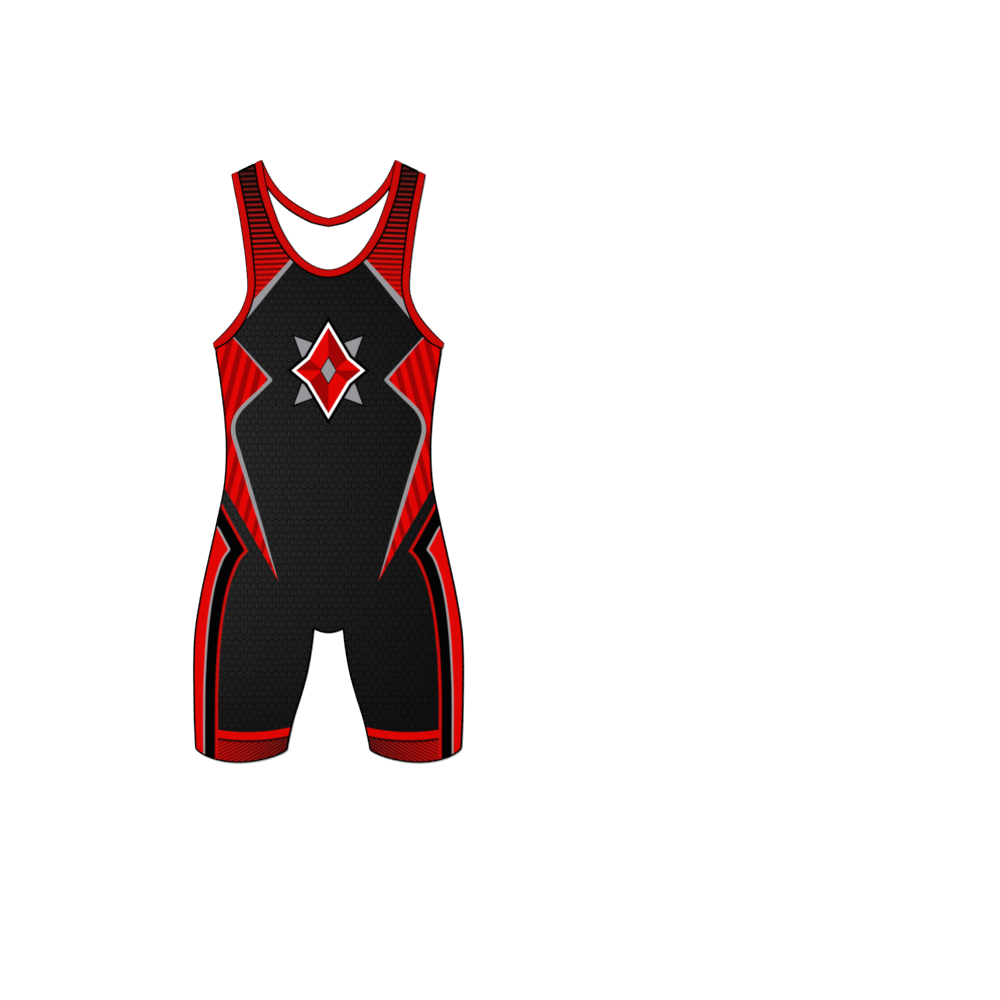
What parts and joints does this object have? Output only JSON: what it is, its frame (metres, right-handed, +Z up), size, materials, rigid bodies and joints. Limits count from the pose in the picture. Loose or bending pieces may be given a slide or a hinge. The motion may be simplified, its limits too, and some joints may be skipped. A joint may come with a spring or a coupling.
{
  "type": "wrestling singlet",
  "caption": "Sleeveless one-piece wrestling singlet with short legs, laid flat with its front up: printed knit, bound neck and armholes, racerback.",
  "frame": {"origin": "on the surface that the garment lies on, under the middle of its bounding box", "axes": "+Y towards the neck, +Z up out of the front panel, +X to the right as seen from above, which is the wearer's left"},
  "size_m": [0.3788, 0.8439, 0.0049],
  "materials": {
    "printed_knit": "stretch knit, printed on its outer face in black and red with a hexagon pattern, white inside, soft low sheen",
    "binding_knit": "red stretch binding, folded over the edge and cover-stitched, soft low sheen"
  },
  "bodies": {
    "root": {"back_panel": "printed_knit", "front_panel": "printed_knit", "neck_binding": "binding_knit", "armhole_binding_right": "binding_knit", "armhole_binding_left": "binding_knit"}
  },
  "joints": []
}
